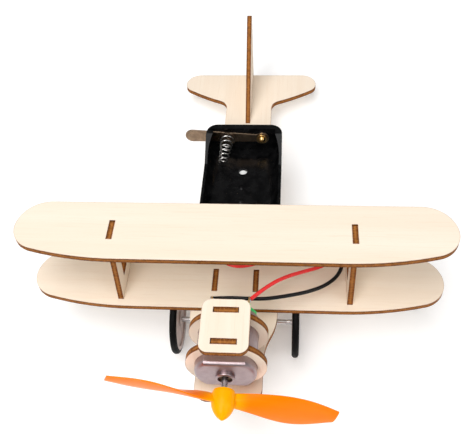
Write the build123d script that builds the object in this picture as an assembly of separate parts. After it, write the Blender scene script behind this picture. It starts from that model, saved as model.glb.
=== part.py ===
"""Electric taxiing biplane cut from 2 mm plywood: a small can motor turns a nose propeller, a holder
for two AA cells sits behind the wings, and the plane stands on two wheels and a skid under its fin.

Every piece is drawn in the plane's own axes: X to the right wing tip, Y back to the tail, and Z up
from the fuselage plate's top face. The last lines pitch the whole plane nose-up onto its wheels and
skid, with the ground at Z = 0.
"""

from build123d import *
import math
import os

# ---- driving dimensions, mm ---------------------------------------------------------------------
ply = 2.0                                   # all wooden pieces come from one sheet
pitch = 8.0                                 # nose-up angle of the standing plane, degrees

motor_z = 12.5                              # motor axis above the fuselage plate
can_r, can_flat = 10.0, 7.5                 # round sides and flats of the motor
can_front_y, can_rear_y, rim_rear_y, bell_rear_y = -15.3, 4.9, 6.0, 9.8
boss_front_y = -16.6
shaft_r, running_gap = 1.0, 0.05

ring_ys = {"front": -11.0, "rear": 0.2}
ring_slot_w = 8.2
ring_r = math.hypot(motor_z, ring_slot_w / 2)   # the round edge meets the plates where the slots end
top_plate_z = 2 * motor_z

wing_front_y, wing_chord, wing_half_span = 16.0, 24.4, 75.3
wing_mid_y = wing_front_y + wing_chord / 2
upper_wing_z = 29.0
strut_x, strut_slot_w = 41.3, 8.1

nose_y, tail_y = -17.8, 148.2
nose_w, body_w, neck_w = 11.4, 15.7, 10.3   # half widths of the fuselage plate

gear_x, gear_slot_w = 7.5, 9.8
tab_play, tab_sink = 0.3, 0.45                # tabs are shorter than their slots and end below the face
axle_y, axle_z, axle_gap = 20.45, -13.6, 0.06
wheel_x, wheel_r, wheel_w = 22.3, 13.2, 2.6
rim_r = 11.7

hub_rear_y, spinner_tip_y, hub_r = -20.7, -30.0, 3.8
blade_y, blade_tip_r, blade_roll = -23.2, 36.8, -20.6

box_w, box_len, box_h = 31.6, 57.3, 13.6
box_front_y, tape_t, floor_t = 41.1, 1.0, 1.3
box_rear_y = box_front_y + box_len
end_face_y = box_rear_y - 2.8               # inner face of the thick end that carries the switch
cell_x, cell_room_r = 7.35, 7.4
contact_z = tape_t + floor_t + cell_room_r   # axis of an AA cell lying on the floor

lever_t, lever_y = 0.5, 95.2
wire_r = 0.68


# ---- helpers ------------------------------------------------------------------------------------
def flat(outline, z, thick=ply):
    """A level plate with its underside at z."""
    return extrude(Pos(0, 0, z) * outline, thick)


def upright(outline, x, thick=ply):
    """A plate facing sideways, centred on x. The outline's axes are Y and Z."""
    face = Plane((x, 0, 0), x_dir=(0, 1, 0), z_dir=(1, 0, 0)) * outline
    return extrude(face, thick / 2, both=True)


def crosswise(outline, y, thick=ply):
    """A plate facing forward, centred on y. The outline's axes are X and Z."""
    face = Plane((0, y, 0), x_dir=(1, 0, 0), z_dir=(0, -1, 0)) * outline
    return extrude(face, thick / 2, both=True)


def rod(r, y0, y1, x=0.0, z=motor_z, bore=0.0):
    """A round bar or tube lying along Y."""
    ring = Circle(r) - Circle(bore) if bore else Circle(r)
    return extrude(Plane((x, y0, z), x_dir=(1, 0, 0), z_dir=(0, 1, 0)) * ring, y1 - y0)


def cross_rod(r, x0, x1, bore=0.0):
    """A round bar or tube on the axle's line."""
    ring = Circle(r) - Circle(bore) if bore else Circle(r)
    return extrude(Plane((x0, axle_y, axle_z), x_dir=(0, 1, 0), z_dir=(1, 0, 0)) * ring, x1 - x0)


def block(x0, x1, y0, y1, z0, z1):
    middle = ((x0 + x1) / 2, (y0 + y1) / 2, (z0 + z1) / 2)
    return Pos(*middle) * Box(abs(x1 - x0), abs(y1 - y0), abs(z1 - z0))


def rectangle(x0, x1, y0, y1):
    return Pos((x0 + x1) / 2, (y0 + y1) / 2) * Rectangle(x1 - x0, y1 - y0)


def mirrored(half):
    """Closes a right-hand half outline with its mirror image."""
    left = [edge.mirror(Plane.YZ) for edge in half]
    return make_face([*half, *left])


def ease(start, end):
    """Two equal arcs that carry a fore-and-aft edge sideways."""
    middle = ((start[0] + end[0]) / 2, (start[1] + end[1]) / 2)
    first = TangentArc(start, middle, tangent=(0, 1))
    return [first, TangentArc(middle, end, tangent=first % 1)]


def motor_section(grow=0.0):
    """The motor's outline: a circle with its top and bottom cut flat, centred on the motor axis."""
    r, flat_h = can_r + grow, can_flat + min(grow, 0.0)
    return Pos(0, motor_z) * (Circle(r) & Rectangle(2 * r, 2 * flat_h))


def along_motor(section, y0, y1):
    """Carries a section drawn in X and Z from y0 to y1."""
    return extrude(Plane((0, y0, 0), x_dir=(1, 0, 0), z_dir=(0, -1, 0)) * section, y0 - y1)


# ---- wooden pieces ------------------------------------------------------------------------------
def fuselage_plate():
    corner = 4.6
    nose = Line((0, nose_y), (nose_w - corner, nose_y))
    nose_corner = TangentArc(nose @ 1, (nose_w, nose_y + corner), tangent=(1, 0))
    flare = ease((nose_w, -3.0), (body_w, 15.5))
    waist = ease((body_w, 83.0), (neck_w, 96.0))
    root = TangentArc((neck_w, 125.0), (13.4, 129.6), tangent=(0, 1))
    leading = TangentArc(root @ 1, (28.3, 137.3), tangent=root % 1)
    tip = TangentArc(leading @ 1, (30.6, 141.2), tangent=leading % 1)
    corner_arc = TangentArc(tip @ 1, (24.1, tail_y), tangent=tip % 1)
    half = [
        nose, nose_corner, Line(nose_corner @ 1, flare[0] @ 0), *flare,
        Line(flare[1] @ 1, waist[0] @ 0), *waist, Line(waist[1] @ 1, root @ 0),
        root, leading, tip, corner_arc, Line(corner_arc @ 1, (0, tail_y)),
    ]
    outline = mirrored(half)
    for y in ring_ys.values():
        outline -= Pos(0, y) * Rectangle(ring_slot_w, ply)
    for x in (-gear_x, gear_x):
        outline -= Pos(x, wing_mid_y) * Rectangle(ply, gear_slot_w)
    for y0, y1 in (fin_front_tab, skid_tab):
        outline -= rectangle(-ply / 2, ply / 2, y0, y1)
    return flat(outline, -ply)


def wing(z, centre_slots):
    front = Line((0, 0), (38, 0))
    sweep = TangentArc(front @ 1, (68, 3.8), tangent=(1, 0))
    tip = TangentArc(sweep @ 1, (wing_half_span, 13), tangent=sweep % 1)
    corner = TangentArc(tip @ 1, (wing_half_span + 13 - wing_chord, wing_chord), tangent=(0, 1))
    outline = Pos(0, wing_front_y) * mirrored([front, sweep, tip, corner, Line(corner @ 1, (0, wing_chord))])
    for x in (-strut_x, strut_x):
        outline -= Pos(x, wing_mid_y) * Rectangle(ply, strut_slot_w)
    if centre_slots:
        for x in (-gear_x, gear_x):
            outline -= Pos(x, wing_mid_y) * Rectangle(ply, gear_slot_w)
    return flat(outline, z)


def strut(x):
    """A tapered side plate with a tapered window, plugged into both wings."""
    foot, head, low, high = 9.3, 4.9, ply, upper_wing_z
    slope = (foot - head) / (high - low)
    body = Polygon((-foot, low), (foot, low), (head, high), (-head, high), align=None)
    sill, lintel, sill_half = 7.5, 20.5, 2.8
    lintel_half = sill_half - slope * (lintel - sill)
    window = Polygon((-sill_half, sill), (sill_half, sill), (lintel_half, lintel), (-lintel_half, lintel), align=None)
    window = fillet(window.vertices(), 0.5)
    tab_half = strut_slot_w / 2 - tab_play
    tabs = rectangle(-tab_half, tab_half, tab_sink, high + ply - tab_sink)
    return upright(Pos(wing_mid_y, 0) * (body + tabs - window), x)


def motor_ring(y):
    disc = Pos(0, motor_z) * Circle(ring_r)
    tab_half = ring_slot_w / 2 - tab_play
    tabs = rectangle(-tab_half, tab_half, tab_sink - ply, top_plate_z + ply - tab_sink)
    return crosswise(disc + tabs - motor_section(0.05), y)


def motor_top_plate():
    front_y, rear_y = -14.9, 4.1
    outline = Pos(0, (front_y + rear_y) / 2) * RectangleRounded(15.5, rear_y - front_y, 3.0)
    for y in ring_ys.values():
        outline -= Pos(0, y) * Rectangle(ring_slot_w, ply)
    return flat(outline, top_plate_z)


def gear_plate(x):
    """Hangs under the fuselage plate, with its tab up through that plate and the lower wing."""
    eye = Pos(axle_y, axle_z) * Circle(4.6)
    shelf = rectangle(16.2, 36.0, -3.2, -ply)
    leg = make_hull([*eye.edges(), *shelf.edges()])
    tab_half = gear_slot_w / 2 - tab_play
    tab = rectangle(wing_mid_y - tab_half, wing_mid_y + tab_half, -3.0, ply - tab_sink)
    hole = Pos(axle_y, axle_z) * Circle(shaft_r + axle_gap)
    return upright(leg + tab - hole, x)


fin_front_tab = (119.0, 125.0)
skid_tab = (131.0, 145.0)
skid_y, skid_r = 141.0, 3.0
tilt = math.radians(pitch)
ground = axle_z * math.cos(tilt) - axle_y * math.sin(tilt) - wheel_r   # height after pitching
skid_z = (ground + skid_r + skid_y * math.sin(tilt)) / math.cos(tilt)  # same ground as the wheels


def tail_fin():
    """Fin and skid in one piece: its front tab and its skid drop through the tail's slots."""
    root_y, top = 114.6, (154.4, 34.2)
    leading = ThreePointArc((root_y, 0), (132.8, 15.9), top)
    back = Line(top, (149.8, 0))
    blade = make_face([leading, back, Line(back @ 1, (root_y, 0))])
    blade = fillet(blade.vertices().sort_by(Axis.Y)[-1], 2.4)
    front_tab = rectangle(*fin_front_tab, -ply, 0.0)
    foot = Pos(skid_y, skid_z) * Circle(skid_r)
    skid = make_hull([*foot.edges(), *rectangle(*skid_tab, -ply, 0.0).edges()])
    return upright(blade + front_tab + skid, 0)


# ---- motor --------------------------------------------------------------------------------------
def motor_can():
    wall, boss_r, seat_r = 0.6, 3.1, 2.4
    shell = along_motor(motor_section(), can_front_y, can_rear_y)
    shell = fillet(shell.faces().sort_by(Axis.Y)[0].edges(), 1.3)
    cavity = along_motor(motor_section(-wall), can_front_y + wall, can_rear_y)
    boss = rod(boss_r, boss_front_y, can_front_y + wall)
    boss = fillet(boss.edges().group_by(Axis.Y)[0], 0.55)
    return shell - cavity + boss - rod(seat_r, boss_front_y, can_front_y + wall)


def front_bush():
    return rod(2.4, boss_front_y + 0.7, can_front_y + 1.1, bore=shaft_r + running_gap)


def magnet(side):
    """An arc magnet on one round side of the can."""
    arc = Circle(9.35) - Circle(6.8)
    wedge = Polygon((0, 0), (12, 8.0), (12, -8.0), align=None)
    section = Pos(0, motor_z) * ((arc & wedge) if side > 0 else mirror(arc & wedge, about=Plane.YZ))
    return along_motor(section, -12.8, 2.2)


def end_bell():
    """Plastic end of the motor: a plug inside the can, a thin rim, a smaller closed end and a bush seat."""
    rim = along_motor(motor_section() & Pos(0, motor_z) * Rectangle(18.2, 20), can_rear_y, rim_rear_y)
    plug = along_motor(motor_section(-0.7), 3.4, can_rear_y)
    closed = Pos(0, motor_z) * RectangleRounded(13.8, 8.8, 2.0)
    closed = along_motor(closed, can_rear_y, bell_rear_y)
    seat = rod(3.3, 8.4, bell_rear_y + 1.3)
    hollow = along_motor(Pos(0, motor_z) * Rectangle(11.6, 6.8), 3.4, 8.4)
    body = rim + plug + closed + seat - hollow - rod(2.2, 8.0, bell_rear_y + 1.3)
    for side in (-1, 1):
        body -= block(side * 6.1, side * 6.5, 5.4, bell_rear_y + 1, 12.9, 15.1)
        body -= block(side * 5.7, side * 6.5, 5.4, 5.8, 11.4, 15.1)
    return body


def rear_bush():
    return rod(2.2, 8.6, 10.8, bore=shaft_r + running_gap)


def brush_terminal(side):
    """A brass tag out of the end bell, with its brush finger beside the commutator inside."""
    tag = block(6.1, 6.5, 5.4, 12.6, 12.9, 15.1)
    finger = block(2.5, 6.5, 5.4, 5.8, 11.4, 15.1)
    eye = Plane((6, 11.7, 14.0), z_dir=(1, 0, 0)) * Circle(0.5)
    whole = tag + finger - extrude(eye, 2)
    return whole if side > 0 else mirror(whole, about=Plane.YZ)


def motor_shaft():
    return rod(shaft_r, -27.2, 10.6)


def armature_core():
    """Three-pole laminated stack on the shaft."""
    section = Circle(2.4)
    for k in range(3):
        arm = rectangle(-1.1, 1.1, 0, 5.4)
        wedge = Polygon((0, 0), (8, 7.5), (-8, 7.5), align=None)
        shoe = (Circle(6.4) - Circle(5.2)) & wedge
        section += Rot(0, 0, 90 + 120 * k) * (arm + shoe)
    stack = along_motor(Pos(0, motor_z) * (section - Circle(shaft_r)), -10.4, -0.4)
    return stack


def armature_coils():
    coils = []
    for k in range(3):
        loop = block(-2.3, 2.3, -11.4, 0.6, 2.75, 4.6) - block(-1.1, 1.1, -10.4, -0.4, 2, 5.5)
        coils.append(Pos(0, 0, motor_z) * Rot(0, 90 + 120 * k, 0) * loop)
    return Compound(coils)


def commutator():
    return rod(2.35, 3.6, 7.6, bore=shaft_r)


# ---- propeller ----------------------------------------------------------------------------------
# radius along the blade, rear half chord, front half chord, blade angle in degrees, thickness
blade_stations = [
    (2.4, 2.3, 2.0, 52.0, 1.8),
    (10.0, 4.0, 3.0, 36.0, 1.6),
    (17.0, 6.0, 4.6, 21.0, 1.4),
    (24.0, 7.0, 5.2, 15.0, 1.2),
    (31.0, 6.3, 3.3, 13.0, 1.0),
    (blade_tip_r, 4.9, 0.6, 12.0, 0.8),
]


def blade():
    """One blade, drawn along +X and twisted from root to tip."""
    sections = []
    for r, rear, front, angle, thick in blade_stations:
        a = math.radians(angle)
        at = Plane((r, blade_y, motor_z), x_dir=(0, math.sin(a), math.cos(a)), z_dir=(1, 0, 0))
        edge, middle = 0.2, (rear - front) / 2
        face = ThreePointArc((-front, edge), (middle, 0.75 * thick), (rear, edge))
        back = ThreePointArc((rear, -edge), (middle, -0.1 - 0.25 * thick), (-front, -edge))
        outline = make_face([face, Line(face @ 1, back @ 0), back, Line(back @ 1, face @ 0)])
        sections.append(at * outline)
    return loft(sections)


def propeller():
    """Hub, spinner and two blades moulded in one."""
    profile = [
        Line((0, hub_rear_y), (hub_r - 0.3, hub_rear_y)),
        Line((hub_r - 0.3, hub_rear_y), (hub_r, hub_rear_y - 1.0)),
        Line((hub_r, hub_rear_y - 1.0), (hub_r, -24.0)),
    ]
    ogive = ThreePointArc((hub_r, -24.0), (2.75, -27.6), (0.5, spinner_tip_y + 0.1))
    nose = Line(ogive @ 1, (0, spinner_tip_y))
    face = make_face([*profile, ogive, nose, Line((0, spinner_tip_y), (0, hub_rear_y))])
    hub = Pos(0, 0, motor_z) * revolve(face, Axis.Y)
    right = blade()
    axis = Axis((0, 0, motor_z), (0, 1, 0))
    whole = hub + right + right.rotate(axis, 180) - rod(shaft_r, -27.2, hub_rear_y)
    return whole.rotate(axis, -blade_roll)


# ---- wheels -------------------------------------------------------------------------------------
def axle():
    end = wheel_x + wheel_w / 2
    return chamfer(cross_rod(shaft_r, -end, end).edges().filter_by(GeomType.CIRCLE), 0.2)


def wheel_hub(side):
    """Moulded disc with a raised rim and boss, pressed on the axle."""
    x = side * wheel_x
    half = wheel_w / 2
    disc = cross_rod(rim_r, x - half, x + half, bore=shaft_r)
    for face in (-1, 1):
        inner, outer = sorted((x + face * 0.7, x + face * (half + 0.1)))
        disc -= cross_rod(rim_r - 1.5, inner, outer, bore=3.0)
    return disc + cross_rod(3.0, x - half, x + half, bore=shaft_r)


def tyre(side):
    x = side * wheel_x
    ring = cross_rod(wheel_r, x - wheel_w / 2, x + wheel_w / 2, bore=rim_r)
    outer = [e for e in ring.edges().filter_by(GeomType.CIRCLE) if e.radius > wheel_r - 0.1]
    return fillet(outer, 1.15)


# ---- battery holder -----------------------------------------------------------------------------
def battery_box():
    """Open-topped tray for two AA cells side by side, with side walls cut low in the middle."""
    low, floor = tape_t, tape_t + floor_t
    top, sill = low + box_h, 8.5
    mid_y = box_front_y + box_len / 2
    body = flat(Pos(0, mid_y) * RectangleRounded(box_w, box_len, 4.8), low, box_h)
    body = fillet(body.faces().sort_by(Axis.Z)[-1].edges(), 0.5)
    mouth_half = cell_x + math.sqrt(cell_room_r**2 - (top - contact_z) ** 2)
    bay = rectangle(-cell_x, cell_x, floor, top + 1) + rectangle(-mouth_half, mouth_half, contact_z, top + 1)
    for x in (-cell_x, cell_x):
        bay += Pos(x, contact_z) * Circle(cell_room_r)
    face = Plane((0, box_front_y + 1.6, 0), x_dir=(1, 0, 0), z_dir=(0, -1, 0)) * bay
    body -= extrude(face, box_front_y + 1.6 - end_face_y)
    dip = Polygon(
        (mid_y - 24.9, top + 1), (mid_y - 11.4, sill), (mid_y + 11.4, sill), (mid_y + 24.9, top + 1), align=None,
    )
    body -= upright(dip, 0, box_w + 2)
    body -= block(-box_w / 2 - 1, -mouth_half + 0.5, end_face_y - 0.9, end_face_y, 6.4, top + 1)
    body -= extrude(Pos(-0.3, 82.8, low) * Circle(1.75), floor_t)
    for y in (73.7, 66.4):
        body += Pos(-0.3, y, floor - 1.6) * (Sphere(2.0) & Pos(0, 0, 1.9) * Box(4, 4, 1.2))
    for x in (-cell_x, cell_x):
        body -= rod(1.0, box_front_y, box_front_y + 1.6, x, contact_z)
        body -= rod(1.0, end_face_y, box_rear_y, x, contact_z)
        body -= rod(2.5, box_rear_y - 1.6, box_rear_y, x, contact_z)
    return body


def foam_tape():
    return block(-12.5, 12.5, 46, 94, 0, tape_t)


def dome(x, base_y, tip_y, r):
    """A domed rivet head, a slice of a ball, from base_y to its tip at tip_y."""
    height = abs(tip_y - base_y)
    ball_r = (r**2 + height**2) / (2 * height)
    toward = 1 if tip_y > base_y else -1
    ball = Pos(x, tip_y - toward * ball_r, contact_z) * Sphere(ball_r)
    return ball & rod(2 * r, min(base_y, tip_y), max(base_y, tip_y), x, contact_z)


def pivot_rivet():
    """Brass rivet that is the rear positive contact and the switch lever's pivot."""
    head = dome(cell_x, 94.3, 92.95, 1.5)
    shank = rod(1.0, 94.3, box_rear_y - 1.6, cell_x, contact_z)
    tail = rod(1.8, box_rear_y - 1.6, box_rear_y - 0.9, cell_x, contact_z)
    return head + shank + tail


def pivot_washer():
    washer = rod(2.3, 94.3, 94.7, cell_x, contact_z, bore=1.0)
    return fillet(washer.edges().group_by(Axis.Y)[0].sort_by(SortBy.RADIUS)[-1], 0.2)


def rear_spring_rivet():
    """Flanged rivet that carries the rear spring; the lever's notch closes on its shank."""
    flange = rod(3.6, 94.3, 94.7, -cell_x, contact_z)
    shank = rod(1.0, 94.7, box_rear_y - 1.6, -cell_x, contact_z)
    tail = rod(1.8, box_rear_y - 1.6, box_rear_y - 0.9, -cell_x, contact_z)
    return flange + shank + tail


def front_rivet(x, positive):
    inside = box_front_y + 1.6
    if positive:
        head = dome(x, inside, inside + 1.4, 2.0)
    else:
        head = rod(3.6, inside, inside + 0.4, x, contact_z)
    return head + rod(1.0, box_front_y, inside, x, contact_z) + rod(1.6, box_front_y - 1.6, box_front_y, x, contact_z)


def coil_spring(x, base_y, toward, lean):
    """Tapered contact spring standing on a rivet flange; toward is -1 or 1 along Y."""
    wire, turns_h, base_r = 0.3, 13.0, 2.75
    helix = Helix(pitch=2.35, height=turns_h, radius=base_r, cone_angle=-5.5)
    start = Plane(helix @ 0, z_dir=helix % 0)
    coil = sweep(start * Circle(wire), path=helix, is_frenet=True)
    stand = Location((x, base_y, contact_z), (-90.0 * toward, 0, 0))
    coil = stand * coil
    return coil.rotate(Axis((x, base_y, contact_z), (0, 0, 1)), lean)


def switch_lever():
    """Tapered strip that swings up on the pivot rivet; its tab sticks out of the left wall."""
    rest, reach, root_half, tab_half = 2.3, 32.3, 1.9, 3.2
    eye = Circle(3.0)
    strip = Polygon(
        (0, -root_half), (0, root_half), (-reach + tab_half, tab_half), (-reach + tab_half, -tab_half), align=None,
    )
    tab = Pos(-reach + tab_half, 0) * Circle(tab_half)
    hole = Circle(shaft_r + 0.06)
    arm = Rot(0, 0, -rest) * (eye + strip + tab - hole)
    notch = rectangle(-2 * cell_x - 1.35, -2 * cell_x + 1.35, -6, 0) + Pos(-2 * cell_x, 0) * Circle(1.35)
    lever = crosswise(Pos(cell_x, contact_z) * (arm - notch), lever_y, lever_t)
    outline = lever.faces().filter_by(Axis.Y).sort_by(Axis.Y)[0].outer_wire().edges()
    return fillet(outline, 0.12)


# ---- wires --------------------------------------------------------------------------------------
red_route = [
    (6.7, 12.4, 14.1), (12.4, 18.7, 13.5), (19.2, 24.1, 11.6), (26.2, 27.9, 9.7), (31.8, 31.1, 8.2),
    (36.0, 35.4, 6.6), (36.8, 40.4, 5.6), (33.4, 43.8, 5.0), (27.3, 44.8, 4.8), (20.0, 41.8, 5.2),
    (13.4, 36.8, 6.2), (7.2, 31.6, 7.4), (-0.2, 29.9, 8.0), (-5.2, 32.2, 8.8), (-7.35, 36.0, 9.4),
    (-7.35, 39.6, 9.7),
]
black_route = [
    (-7.0, 12.7, 13.5), (-1.6, 13.8, 12.6), (4.8, 14.0, 12.1), (11.6, 14.2, 11.7), (18.8, 16.2, 10.9),
    (25.6, 18.5, 9.9), (32.2, 21.8, 9.2), (37.0, 26.6, 8.7), (39.0, 32.4, 8.5), (38.5, 37.8, 8.4),
    (35.6, 42.4, 8.4), (30.6, 44.8, 8.5), (25.0, 44.3, 8.7), (19.8, 41.8, 9.0), (14.6, 39.8, 9.3),
    (8.9, 40.2, 9.7),
]


def wire(name, route):
    """A round wire: straight runs joined by arcs as large as the runs allow."""
    points = [Vector(*p) for p in route]
    radii = []
    for before, at, after in zip(points, points[1:], points[2:]):
        turn = math.radians((at - before).get_angle(after - at))
        shorter = min((at - before).length, (after - at).length)
        radii.append(0.45 * shorter / math.tan(turn / 2))
    path = FilletPolyline(*route, radius=radii)
    tube = sweep(Plane(path @ 0, z_dir=path % 0) * Circle(wire_r), path=path)
    expected = math.pi * wire_r**2 * path.length
    print(name, "length", round(path.length, 1), "least radius", round(min(radii), 1),
          "volume over section x length", round(tube.volume / expected, 4))
    print("   radii", [round(r, 1) for r in radii])
    return tube


# ---- assembly -----------------------------------------------------------------------------------
nodes = {
    "fuselage_plate": fuselage_plate(),
    "lower_wing": wing(0.0, centre_slots=True),
    "upper_wing": wing(upper_wing_z, centre_slots=False),
    "left_strut": strut(-strut_x),
    "right_strut": strut(strut_x),
    "front_motor_ring": motor_ring(ring_ys["front"]),
    "rear_motor_ring": motor_ring(ring_ys["rear"]),
    "motor_top_plate": motor_top_plate(),
    "left_gear_plate": gear_plate(-gear_x),
    "right_gear_plate": gear_plate(gear_x),
    "tail_fin": tail_fin(),
    "motor_can": motor_can(),
    "motor_front_bush": front_bush(),
    "left_magnet": magnet(-1),
    "right_magnet": magnet(1),
    "motor_end_bell": end_bell(),
    "motor_rear_bush": rear_bush(),
    "left_brush_terminal": brush_terminal(-1),
    "right_brush_terminal": brush_terminal(1),
    "motor_shaft": motor_shaft(),
    "armature_core": armature_core(),
    "armature_coils": armature_coils(),
    "commutator": commutator(),
    "propeller": propeller(),
    "axle": axle(),
    "left_wheel_hub": wheel_hub(-1),
    "right_wheel_hub": wheel_hub(1),
    "left_tyre": tyre(-1),
    "right_tyre": tyre(1),
    "battery_box": battery_box(),
    "foam_tape": foam_tape(),
    "pivot_rivet": pivot_rivet(),
    "pivot_washer": pivot_washer(),
    "rear_spring_rivet": rear_spring_rivet(),
    "rear_spring": coil_spring(-cell_x, 94.0, -1, -3.5),
    "front_positive_rivet": front_rivet(-cell_x, True),
    "front_negative_rivet": front_rivet(cell_x, False),
    "front_spring": coil_spring(cell_x, box_front_y + 2.3, 1, 0.0),
    "switch_lever": switch_lever(),
    "red_wire": wire("red wire", red_route),
    "black_wire": wire("black wire", black_route),
}

pitched = {name: Rot(-pitch, 0, 0) * shape for name, shape in nodes.items()}
footprint = Compound([solid for shape in pitched.values() for solid in shape.solids()]).bounding_box()
centre_y = (footprint.min.Y + footprint.max.Y) / 2
print("pitch", pitch, "then moved by", (0, round(-centre_y, 4), round(-ground, 4)))

os.makedirs("parts", exist_ok=True)
for name, shape in pitched.items():
    export_step(Pos(0, -centre_y, -ground) * shape, f"parts/{name}.step")
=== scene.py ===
import math
import bmesh
import bpy
from mathutils import Matrix, Vector, noise


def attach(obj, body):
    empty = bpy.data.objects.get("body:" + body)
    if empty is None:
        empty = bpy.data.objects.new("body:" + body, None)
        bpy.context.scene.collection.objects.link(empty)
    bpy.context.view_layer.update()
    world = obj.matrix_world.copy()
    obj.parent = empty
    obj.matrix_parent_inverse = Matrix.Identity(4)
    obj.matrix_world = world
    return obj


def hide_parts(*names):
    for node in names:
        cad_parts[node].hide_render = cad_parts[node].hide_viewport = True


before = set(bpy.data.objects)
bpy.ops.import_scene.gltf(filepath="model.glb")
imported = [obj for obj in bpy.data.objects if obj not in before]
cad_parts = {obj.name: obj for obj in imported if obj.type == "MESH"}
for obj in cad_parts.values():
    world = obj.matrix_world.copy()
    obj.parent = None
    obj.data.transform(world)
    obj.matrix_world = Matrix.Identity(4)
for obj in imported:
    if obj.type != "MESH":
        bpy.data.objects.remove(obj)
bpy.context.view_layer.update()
scene = bpy.context.scene
scene.view_settings.view_transform = "Standard"

# The part is drawn level, in millimetres, then pitched nose-up and moved onto the ground.
PITCH = math.radians(8.0)
MOVED = Vector((0.0, -64.0545, 29.5137))
MM = 0.001
STANDING = Matrix.Rotation(-PITCH, 3, "X")


def stand(x, y, z):
    """A point of the level plane, in millimetres, where it is on the standing plane, in metres."""
    return (STANDING @ Vector((x, y, z)) + MOVED) * MM


# ---- camera -------------------------------------------------------------------------------------
# Degrees and millimetres, against the level plane's axes. The shifts are shares of the picture's width.
AZIMUTH, ELEVATION, ROLL = 7.31, 50.54, -4.72
CAMERA_DISTANCE = 273.58
CAMERA_TARGET = Vector((-2.56, 59.69, 0.0))
LENS_MM, SENSOR_MM = 52.812, 36.0
SHIFT_X, SHIFT_Y = -0.00296, 0.00109


def make_camera():
    """A camera placed in the level plane's axes, then pitched and moved with the plane."""
    azimuth, elevation, roll = (math.radians(a) for a in (AZIMUTH, ELEVATION, ROLL))
    back = Vector((math.sin(azimuth) * math.cos(elevation), -math.cos(azimuth) * math.cos(elevation),
                   math.sin(elevation)))
    level_x = Vector((0, 0, 1)).cross(back).normalized()
    level_y = back.cross(level_x)
    x_axis = math.cos(roll) * level_x + math.sin(roll) * level_y
    y_axis = -math.sin(roll) * level_x + math.cos(roll) * level_y
    data = bpy.data.cameras.new("camera")
    data.sensor_width = SENSOR_MM
    data.lens = LENS_MM
    data.shift_x, data.shift_y = SHIFT_X, SHIFT_Y
    data.clip_start, data.clip_end = 0.01, 20.0
    camera = bpy.data.objects.new("camera", data)
    scene.collection.objects.link(camera)
    turned = STANDING @ Matrix((x_axis, y_axis, back)).transposed()
    place = stand(*(CAMERA_TARGET + back * CAMERA_DISTANCE))
    camera.matrix_world = Matrix.Translation(place) @ turned.to_4x4()
    scene.camera = camera


make_camera()

# ---- wires --------------------------------------------------------------------------------------
# Each route is the same list of points as the CAD tube that the curve replaces.
WIRE_D = 1.36
RED_ROUTE = [
    (6.7, 12.4, 14.1), (12.4, 18.7, 13.5), (19.2, 24.1, 11.6), (26.2, 27.9, 9.7), (31.8, 31.1, 8.2),
    (36.0, 35.4, 6.6), (36.8, 40.4, 5.6), (33.4, 43.8, 5.0), (27.3, 44.8, 4.8), (20.0, 41.8, 5.2),
    (13.4, 36.8, 6.2), (7.2, 31.6, 7.4), (-0.2, 29.9, 8.0), (-5.2, 32.2, 8.8), (-7.35, 36.0, 9.4),
    (-7.35, 39.6, 9.7),
]
BLACK_ROUTE = [
    (-7.0, 12.7, 13.5), (-1.6, 13.8, 12.6), (4.8, 14.0, 12.1), (11.6, 14.2, 11.7), (18.8, 16.2, 10.9),
    (25.6, 18.5, 9.9), (32.2, 21.8, 9.2), (37.0, 26.6, 8.7), (39.0, 32.4, 8.5), (38.5, 37.8, 8.4),
    (35.6, 42.4, 8.4), (30.6, 44.8, 8.5), (25.0, 44.3, 8.7), (19.8, 41.8, 9.0), (14.6, 39.8, 9.3),
    (8.9, 40.2, 9.7),
]


def make_wire(name, route, node):
    """A round flexible lead along a route, in place of its plain CAD tube."""
    curve = bpy.data.curves.new(name, "CURVE")
    curve.dimensions = "3D"
    spline = curve.splines.new("NURBS")
    spline.points.add(len(route) - 1)
    for point, at in zip(spline.points, route):
        point.co = (*stand(*at), 1.0)
        point.radius = WIRE_D / 2 * MM      # the bevel's depth is 1, so this is the wire's own radius
    spline.order_u = 3
    spline.use_endpoint_u = True
    spline.resolution_u = 10
    curve.bevel_depth = 1.0
    curve.bevel_resolution = 6
    curve.use_fill_caps = True
    wire = bpy.data.objects.new(name, curve)
    scene.collection.objects.link(wire)
    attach(wire, "airframe")
    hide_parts(node)
    return wire


red_wire = make_wire("red_lead", RED_ROUTE, "red_wire")
black_wire = make_wire("black_lead", BLACK_ROUTE, "black_wire")


# ---- material shorthand -------------------------------------------------------------------------
COLOUR_A, COLOUR_B, COLOUR_RESULT = 6, 7, 2         # where the Mix node keeps its colour sockets


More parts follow.
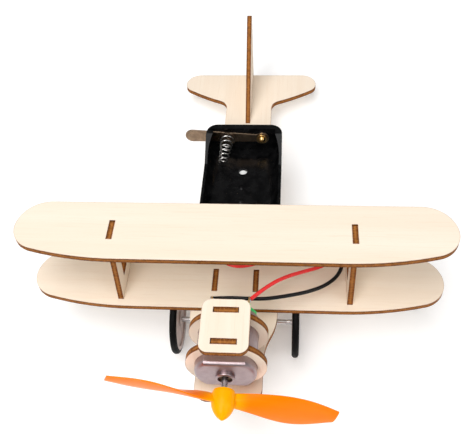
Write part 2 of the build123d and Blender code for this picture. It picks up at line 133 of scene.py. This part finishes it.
class Graph:
    """One material's nodes. Positions are in millimetres in the level plane's own axes."""

    def __init__(self, name):
        self.material = bpy.data.materials.new(name)
        self.material.use_nodes = True
        self.tree = self.material.node_tree
        self.tree.nodes.clear()
        self.shader = self.add("ShaderNodeBsdfPrincipled")
        output = self.add("ShaderNodeOutputMaterial")
        self.tree.links.new(self.shader.outputs["BSDF"], output.inputs["Surface"])
        coords = self.add("ShaderNodeTexCoord")
        offset = self.vector("SUBTRACT", coords.outputs["Object"], MOVED * MM)
        self.at = self.turn(self.vector("SCALE", offset, scale=1 / MM))
        self.normal = self.turn(coords.outputs["Normal"])

    def add(self, kind, **settings):
        made = self.tree.nodes.new(kind)
        for key, value in settings.items():
            setattr(made, key, value)
        return made

    def put(self, socket, value):
        """Links a socket to the value, or sets the value on it. A colour of three numbers gets its alpha."""
        if isinstance(value, bpy.types.NodeSocket):
            self.tree.links.new(value, socket)
        elif value is not None:
            wants = len(socket.default_value) if hasattr(socket.default_value, "__len__") else 1
            if wants == 4 and len(value) == 3:
                value = (*value, 1.0)
            socket.default_value = value

    def turn(self, vector):
        """Undoes the plane's pitch."""
        made = self.add("ShaderNodeVectorRotate", rotation_type="X_AXIS")
        self.put(made.inputs["Vector"], vector)
        made.inputs["Angle"].default_value = PITCH
        return made.outputs[0]

    def vector(self, operation, a, b=None, scale=None):
        made = self.add("ShaderNodeVectorMath", operation=operation)
        self.put(made.inputs[0], a)
        if b is not None:
            self.put(made.inputs[1], b)
        if scale is not None:
            made.inputs["Scale"].default_value = scale
        return made.outputs["Value" if operation in ("DOT_PRODUCT", "LENGTH") else "Vector"]

    def math(self, operation, a, b=0.0):
        made = self.add("ShaderNodeMath", operation=operation)
        for socket, value in zip(made.inputs, (a, b)):
            self.put(socket, value)
        return made.outputs[0]

    def split(self, vector):
        made = self.add("ShaderNodeSeparateXYZ")
        self.put(made.inputs[0], vector)
        return list(made.outputs)

    def join(self, x, y, z):
        made = self.add("ShaderNodeCombineXYZ")
        for socket, value in zip(made.inputs, (x, y, z)):
            self.put(socket, value)
        return made.outputs[0]

    def noise(self, vector, scale, detail=2.0, roughness=0.5, distortion=0.0):
        made = self.add("ShaderNodeTexNoise")
        self.put(made.inputs["Vector"], vector)
        for key, value in (("Scale", scale), ("Detail", detail), ("Roughness", roughness),
                           ("Distortion", distortion)):
            made.inputs[key].default_value = value
        return made.outputs[0]

    def step(self, value, low, high, to_low=0.0, to_high=1.0):
        """A smooth step from to_low at low to to_high at high."""
        made = self.add("ShaderNodeMapRange", interpolation_type="SMOOTHSTEP")
        for key, item in (("Value", value), ("From Min", low), ("From Max", high), ("To Min", to_low),
                          ("To Max", to_high)):
            self.put(made.inputs[key], item)
        return made.outputs[0]

    def mix(self, share, a, b):
        """Colour a where share is 0 and colour b where it is 1."""
        made = self.add("ShaderNodeMix", data_type="RGBA")
        self.put(made.inputs["Factor"], share)
        self.put(made.inputs[COLOUR_A], a)
        self.put(made.inputs[COLOUR_B], b)
        return made.outputs[COLOUR_RESULT]

    def ramp(self, value, *stops):
        made = self.add("ShaderNodeValToRGB")
        self.put(made.inputs[0], value)
        elements = made.color_ramp.elements
        while len(elements) < len(stops):
            elements.new(0.5)
        for element, (place, colour) in zip(elements, stops):
            element.position = place
            element.color = (*colour, 1.0)
        return made.outputs[0]

    def bump(self, height, distance, strength):
        """A bump map's normal. distance is in millimetres."""
        made = self.add("ShaderNodeBump")
        made.inputs["Strength"].default_value = strength
        made.inputs["Distance"].default_value = distance * MM
        self.put(made.inputs["Height"], height)
        return made.outputs[0]

    def surface(self, colour, roughness, normal, **plain):
        """Sets the shader's inputs, the named ones to plain values, and returns the material."""
        self.put(self.shader.inputs["Base Color"], colour)
        self.put(self.shader.inputs["Roughness"], roughness)
        self.put(self.shader.inputs["Normal"], normal)
        for key, value in plain.items():
            self.shader.inputs[key.replace("_", " ")].default_value = value
        return self.material


def srgb(r, g, b):
    """A screen colour, 0 to 255, as linear light."""
    return tuple(((c / 255 + 0.055) / 1.055) ** 2.4 if c > 10 else c / 255 / 12.92 for c in (r, g, b))


# ---- plywood ------------------------------------------------------------------------------------
PLY = 2.0
GLUE_FROM_MIDDLE = 0.21                     # where a glue line lies, as a share of the thickness
SMOKE_WIDTH = 0.55                          # how far the smoke of a cut reaches across a face
PALE, PALER = srgb(240, 222, 201), srgb(245, 231, 213)
STREAK, FLECK, SMOKE = srgb(228, 205, 178), srgb(212, 182, 148), srgb(140, 84, 42)
BURNT_DARK, BURNT, BURNT_LIGHT = srgb(86, 42, 13), srgb(132, 76, 29), srgb(176, 114, 52)
MIDDLE_PLY, SCORCH, GLUE, CUT_RIM = srgb(196, 130, 64), srgb(86, 42, 12), srgb(64, 30, 12), srgb(50, 22, 8)


def plywood(node, across, along, low, seed):
    """Laser-cut plywood. across is the axis through the sheet, along is the face grain's, low is where
    the sheet starts on the first."""
    g = Graph(f"plywood_{node}")
    places, facing = g.split(g.at), g.split(g.normal)
    depth = g.math("DIVIDE", g.math("SUBTRACT", places[across], low), PLY)
    side = 3 - across - along
    grain_at = g.join(g.math("MULTIPLY", places[along], 0.035), places[side], g.math("MULTIPLY", depth, 0.2))
    grain_at = g.vector("ADD", grain_at, (seed * 7.3, seed * 3.1, 0.0))
    cut = g.step(g.math("ABSOLUTE", facing[across]), 0.75, 0.45)

    # faces: pale, with faint streaks, a few darker flecks and a breath of smoke beside the cuts
    broad = g.noise(grain_at, 0.12, 3.0, 0.6, 0.4)
    streaks = g.noise(grain_at, 1.6, 4.0, 0.65, 0.3)
    fine = g.noise(g.vector("MULTIPLY", grain_at, (2.5, 1.0, 1.0)), 6.0, 2.0, 0.6)
    face = g.ramp(broad, (0.30, PALER), (0.70, PALE))
    face = g.mix(g.step(streaks, 0.50, 0.80, 0.0, 0.42), face, STREAK)
    face = g.mix(g.step(fine, 0.62, 0.80, 0.0, 0.35), face, FLECK)
    rounded = g.add("ShaderNodeBevel", samples=6)
    rounded.inputs["Radius"].default_value = SMOKE_WIDTH * MM
    geometry = g.add("ShaderNodeNewGeometry")
    same_way = g.vector("DOT_PRODUCT", rounded.outputs[0], geometry.outputs["Normal"])
    smoke = g.step(g.math("SUBTRACT", 1.0, same_way), 0.01, 0.30, 0.0, 0.9)
    smoke = g.math("MULTIPLY", smoke, g.step(g.noise(g.at, 0.35, 2.0), 0.25, 0.7, 0.45, 1.0))
    face = g.mix(smoke, face, SMOKE)

    # cuts: three scorched plies between dark glue lines, with the beam's stripes through the sheet
    plain = [places[0], places[1], places[2]]
    plain[across] = g.math("MULTIPLY", places[across], 0.12)
    stripes = g.noise(g.join(*plain), 5.0, 2.0, 0.7)
    scorch = g.noise(g.at, 0.55, 3.0, 0.6)
    from_middle = g.math("ABSOLUTE", g.math("SUBTRACT", depth, 0.5))
    from_glue = g.math("ABSOLUTE", g.math("SUBTRACT", from_middle, GLUE_FROM_MIDDLE))
    middle = g.step(from_middle, 0.24, 0.17)
    glue = g.math("SUBTRACT", 1.0, g.step(from_glue, 0.02, 0.06))
    rim = g.step(from_middle, 0.40, 0.50)
    edge = g.ramp(stripes, (0.32, BURNT_DARK), (0.50, BURNT), (0.68, BURNT_LIGHT))
    edge = g.mix(g.math("MULTIPLY", middle, 0.40), edge, MIDDLE_PLY)
    edge = g.mix(g.step(scorch, 0.45, 0.75, 0.0, 0.55), edge, SCORCH)
    edge = g.mix(g.math("MULTIPLY", glue, 0.45), edge, GLUE)
    edge = g.mix(g.math("MULTIPLY", rim, 0.75), edge, CUT_RIM)

    colour = g.mix(cut, face, edge)
    ridges = g.math("MULTIPLY", g.math("MULTIPLY", stripes, cut), 2.0)
    height = g.math("ADD", g.math("MULTIPLY", streaks, 0.35), ridges)
    return g.surface(colour, g.step(cut, 0.0, 1.0, 0.62, 0.80), g.bump(height, 0.04, 0.6),
                     Specular_IOR_Level=0.2)


# Each sheet: the axis through it, the axis of its grain, and where it starts on the first.
X, Y, Z = 0, 1, 2
HALF_PLY = PLY / 2
MOTOR_Z, TOP_PLATE_Z, UPPER_WING_Z = 12.5, 25.0, 29.0
STRUT_X, GEAR_X = 41.3, 7.5
FRONT_RING_Y, REAR_RING_Y = -11.0, 0.2
WOOD = {
    "fuselage_plate": (Z, Y, -PLY), "lower_wing": (Z, X, 0.0), "upper_wing": (Z, X, UPPER_WING_Z),
    "left_strut": (X, Z, -STRUT_X - HALF_PLY), "right_strut": (X, Z, STRUT_X - HALF_PLY),
    "front_motor_ring": (Y, Z, FRONT_RING_Y - HALF_PLY), "rear_motor_ring": (Y, Z, REAR_RING_Y - HALF_PLY),
    "motor_top_plate": (Z, Y, TOP_PLATE_Z), "left_gear_plate": (X, Y, -GEAR_X - HALF_PLY),
    "right_gear_plate": (X, Y, GEAR_X - HALF_PLY), "tail_fin": (X, Y, -HALF_PLY),
}


def paint(node, material):
    """Gives a CAD node one material."""
    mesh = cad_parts[node].data
    mesh.materials.clear()
    mesh.materials.append(material)


for seed, (node, (across, along, low)) in enumerate(WOOD.items()):
    paint(node, plywood(node, across, along, low, seed))


# ---- metals and plastics ------------------------------------------------------------------------
def metal(name, colour, rough, marks=(1.0, 1.0, 1.0), wear=0.12, dull=None, depth=0.35, patches=0.6):
    """Metal with fine marks, stretched by marks, and blotches that change its polish."""
    g = Graph(name)
    lines = g.noise(g.vector("MULTIPLY", g.at, marks), 6.0, 3.0, 0.7)
    blotch = g.noise(g.at, 0.45, 3.0, 0.6)
    darker = tuple(c * 0.72 for c in colour) if dull is None else dull
    tone = g.mix(g.step(blotch, 0.35, 0.7, 0.0, patches), colour, darker)
    tone = g.mix(g.step(lines, 0.45, 0.75, 0.0, 0.3), tone, darker)
    polish = g.step(blotch, 0.3, 0.7, rough - wear / 2, rough + wear)
    polish = g.math("ADD", polish, g.math("MULTIPLY", lines, 0.10))
    return g.surface(tone, polish, g.bump(lines, 0.01, depth), Metallic=1.0)


def plastic(name, colour, rough, variation=0.06, ripple=0.02, **more):
    """Moulded plastic: even colour, a faint cloudiness and a slightly uneven gloss."""
    g = Graph(name)
    cloud = g.noise(g.at, 0.25, 3.0, 0.55)
    speck = g.noise(g.at, 9.0, 2.0, 0.6)
    paler = tuple(min(1.0, c * (1 + variation) + variation * 0.05) for c in colour)
    tone = g.mix(g.step(cloud, 0.3, 0.7), colour, paler)
    polish = g.step(cloud, 0.3, 0.7, rough * 0.85, rough * 1.15)
    polish = g.math("ADD", polish, g.math("MULTIPLY", speck, 0.06))
    height = g.math("ADD", cloud, g.math("MULTIPLY", speck, 0.3))
    return g.surface(tone, polish, g.bump(height, ripple, 0.5), **more)


# Partly painted reflection: the can's steel grey is darkened and tinted pink to stand in for the pinkish,
# dark surroundings it reflects.
can_steel = metal("can_steel", srgb(166, 150, 152), 0.33, (5.0, 0.4, 5.0), 0.05, srgb(130, 112, 116),
                  depth=0.12, patches=0.25)
bright_steel = metal("bright_steel", srgb(206, 204, 204), 0.20, (0.4, 4.0, 4.0))
shaft_steel = metal("shaft_steel", srgb(190, 188, 190), 0.22, (4.0, 0.4, 4.0))
plated = metal("plated_steel", srgb(170, 150, 130), 0.22, (0.6, 3.0, 4.0), dull=srgb(136, 116, 98))
lever_steel = metal("lever_steel", srgb(160, 138, 116), 0.24, (0.4, 3.0, 3.0), 0.05, srgb(132, 112, 94),
                    depth=0.08)
spring_steel = metal("spring_steel", srgb(205, 203, 200), 0.18)
brass = metal("brass_rivet", srgb(226, 190, 128), 0.20, dull=srgb(178, 132, 74))
bronze = metal("bronze_bush", srgb(96, 76, 56), 0.45)
copper = metal("copper_segments", srgb(196, 120, 84), 0.30, (4.0, 0.5, 4.0))
dark_iron = metal("laminations", srgb(78, 78, 82), 0.45, (1.0, 8.0, 1.0))
ferrite = plastic("ferrite", srgb(50, 50, 54), 0.55)
green = plastic("green_end", srgb(48, 196, 100), 0.32)
black_gloss = plastic("black_tray", srgb(4, 4, 5), 0.15, 0.1, 0.003, Specular_IOR_Level=0.12)
grey_hub = plastic("grey_hub", srgb(176, 160, 156), 0.4)
tape_white = plastic("foam_tape", srgb(236, 236, 234), 0.75, ripple=0.15)
red_vinyl = plastic("red_vinyl", srgb(232, 48, 50), 0.18)
black_vinyl = plastic("black_vinyl", srgb(7, 7, 8), 0.3, Specular_IOR_Level=0.25)


def enamel_wire():
    """Windings of copper wire, as bands across the motor's axis."""
    g = Graph("enamel_wire")
    turns = g.add("ShaderNodeTexWave", wave_type="BANDS", bands_direction="Y")
    g.put(turns.inputs["Vector"], g.at)
    turns.inputs["Scale"].default_value = 1.1
    colour = g.ramp(turns.outputs[1], (0.1, srgb(92, 34, 14)), (0.8, srgb(190, 92, 44)))
    return g.surface(colour, 0.28, g.bump(turns.outputs[1], 0.12, 0.8), Metallic=0.85)


def tyre_rubber():
    """Black rubber with a little dust."""
    g = Graph("tyre_rubber")
    grain = g.noise(g.at, 4.0, 3.0, 0.6)
    dust = g.noise(g.at, 0.5, 4.0, 0.65)
    colour = g.mix(g.step(dust, 0.5, 0.8, 0.0, 0.35), srgb(4, 4, 4), srgb(14, 13, 12))
    return g.surface(colour, g.step(dust, 0.3, 0.8, 0.5, 0.7), g.bump(grain, 0.05, 0.4),
                     Specular_IOR_Level=0.1)


def glowing_propeller_plastic():
    """Thin amber-orange moulding: yellower at the thick hub, with soft flow marks out along the blades, and
    a faint painted orange glow from its emission.
    """
    g = Graph("glowing_propeller_plastic")
    across, fore, up = g.split(g.at)
    out = g.vector("LENGTH", g.join(across, 0.0, g.math("SUBTRACT", up, MOTOR_Z)))
    flow = g.noise(g.join(g.math("MULTIPLY", out, 0.05), fore, g.math("MULTIPLY", up, 0.3)), 0.9, 3.0, 0.55)
    hub = g.step(out, 3.0, 9.0, 1.0, 0.0)
    blade = g.mix(g.step(flow, 0.35, 0.7, 0.0, 0.35), srgb(252, 120, 0), srgb(252, 132, 0))
    colour = g.mix(hub, blade, srgb(244, 168, 0))
    ripple = g.noise(g.at, 0.35, 2.0)
    # The faint orange emission is a painted glow that lifts the shaded blades; the propeller is no lamp.
    return g.surface(colour, g.step(flow, 0.3, 0.7, 0.28, 0.36), g.bump(ripple, 0.04, 0.3),
                     Subsurface_Weight=0.2, Subsurface_Scale=0.002, Subsurface_Radius=(1.0, 0.5, 0.1),
                     Specular_IOR_Level=0.1, Emission_Color=(1.0, 0.18, 0.0, 1.0), Emission_Strength=0.14)


PLAIN = {
    "motor_can": can_steel, "motor_front_bush": bronze, "motor_rear_bush": bronze, "left_magnet": ferrite,
    "right_magnet": ferrite, "motor_end_bell": green, "left_brush_terminal": brass,
    "right_brush_terminal": brass, "motor_shaft": shaft_steel, "armature_core": dark_iron,
    "armature_coils": enamel_wire(), "commutator": copper, "propeller": glowing_propeller_plastic(),
    "axle": bright_steel, "left_wheel_hub": grey_hub, "right_wheel_hub": grey_hub,
    "left_tyre": tyre_rubber(), "right_tyre": tyre_rubber(), "battery_box": black_gloss,
    "foam_tape": tape_white, "pivot_rivet": brass, "pivot_washer": brass, "rear_spring_rivet": plated,
    "rear_spring": spring_steel, "front_positive_rivet": brass, "front_negative_rivet": plated,
    "front_spring": spring_steel, "switch_lever": lever_steel,
}
for node, material in PLAIN.items():
    paint(node, material)
red_wire.data.materials.append(red_vinyl)
black_wire.data.materials.append(black_vinyl)


# ---- solder -------------------------------------------------------------------------------------
solder = metal("solder", srgb(204, 204, 208), 0.25)


def solder_blob(name, centre, size, toward):
    """A dull bright droplet that has run a little way up the wire."""
    mesh = bpy.data.meshes.new(name)
    made = bmesh.new()
    bmesh.ops.create_icosphere(made, subdivisions=4, radius=1.0)
    pull = (Vector(toward) - Vector(centre)).normalized()
    for v in made.verts:
        along = max(0.0, v.co.dot(pull))
        v.co += pull * along**3 * 0.55
        v.co *= 1 + 0.06 * noise.noise(v.co * 1.7 + Vector(centre))
        v.co = stand(*(Vector(centre) + Vector(c * s for c, s in zip(v.co, size))))
    made.to_mesh(mesh)
    made.free()
    for polygon in mesh.polygons:
        polygon.use_smooth = True
    mesh.materials.append(solder)
    blob = bpy.data.objects.new(name, mesh)
    scene.collection.objects.link(blob)
    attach(blob, "airframe")


solder_blob("right_terminal_solder", (6.45, 11.9, 14.0), (0.55, 0.8, 0.8), RED_ROUTE[1])
solder_blob("left_terminal_solder", (-6.6, 12.1, 13.7), (0.6, 0.8, 0.8), BLACK_ROUTE[1])
solder_blob("left_rivet_solder", (-7.35, 39.6, 9.7), (1.2, 0.7, 1.2), RED_ROUTE[-2])
solder_blob("right_rivet_solder", (8.3, 40.1, 9.7), (0.9, 0.8, 1.1), BLACK_ROUTE[-2])


# ---- stage --------------------------------------------------------------------------------------
HALF_FLOOR = 3.0                            # metres


def make_stage():
    """A white floor and an even white sky."""
    corners = [(x * HALF_FLOOR, y * HALF_FLOOR, 0) for x, y in ((-1, -1), (1, -1), (1, 1), (-1, 1))]
    mesh = bpy.data.meshes.new("floor")
    mesh.from_pydata(corners, [], [(0, 1, 2, 3)])
    floor = bpy.data.objects.new("floor", mesh)
    scene.collection.objects.link(floor)
    material = bpy.data.materials.new("floor_white")
    material.use_nodes = True
    shader = material.node_tree.nodes["Principled BSDF"]
    shader.inputs["Base Color"].default_value = (0.92, 0.92, 0.92, 1)
    shader.inputs["Roughness"].default_value = 0.9
    shader.inputs["Specular IOR Level"].default_value = 0.0
    shader.inputs["Emission Color"].default_value = (1, 1, 1, 1)
    shader.inputs["Emission Strength"].default_value = 0.16
    mesh.materials.append(material)
    world = bpy.data.worlds.new("studio")
    world.use_nodes = True
    background = world.node_tree.nodes["Background"]
    background.inputs["Color"].default_value = (1.0, 1.0, 1.0, 1)
    background.inputs["Strength"].default_value = 0.24
    scene.world = world


def soft_light(name, place, aim, size, power):
    """A rectangular lamp at a place, facing its aim. Places and sizes are in metres, power in watts."""
    data = bpy.data.lights.new(name, "AREA")
    data.shape = "RECTANGLE"
    data.size, data.size_y = size
    data.energy = power
    light = bpy.data.objects.new(name, data)
    light.location = place
    light.rotation_mode = "QUATERNION"
    light.rotation_quaternion = (Vector(aim) - Vector(place)).to_track_quat("-Z", "Y")
    scene.collection.objects.link(light)


make_stage()
soft_light("overhead", (-0.12, -0.06, 0.75), (0.0, 0.0, 0.0), (0.6, 0.5), 4.0)
soft_light("front_left", (-0.25, -0.52, 0.70), (0.0, -0.03, 0.03), (0.4, 0.35), 2.4)
soft_light("right", (0.55, -0.35, 0.60), (0.0, -0.03, 0.03), (0.4, 0.35), 1.3)

bpy.context.view_layer.update()
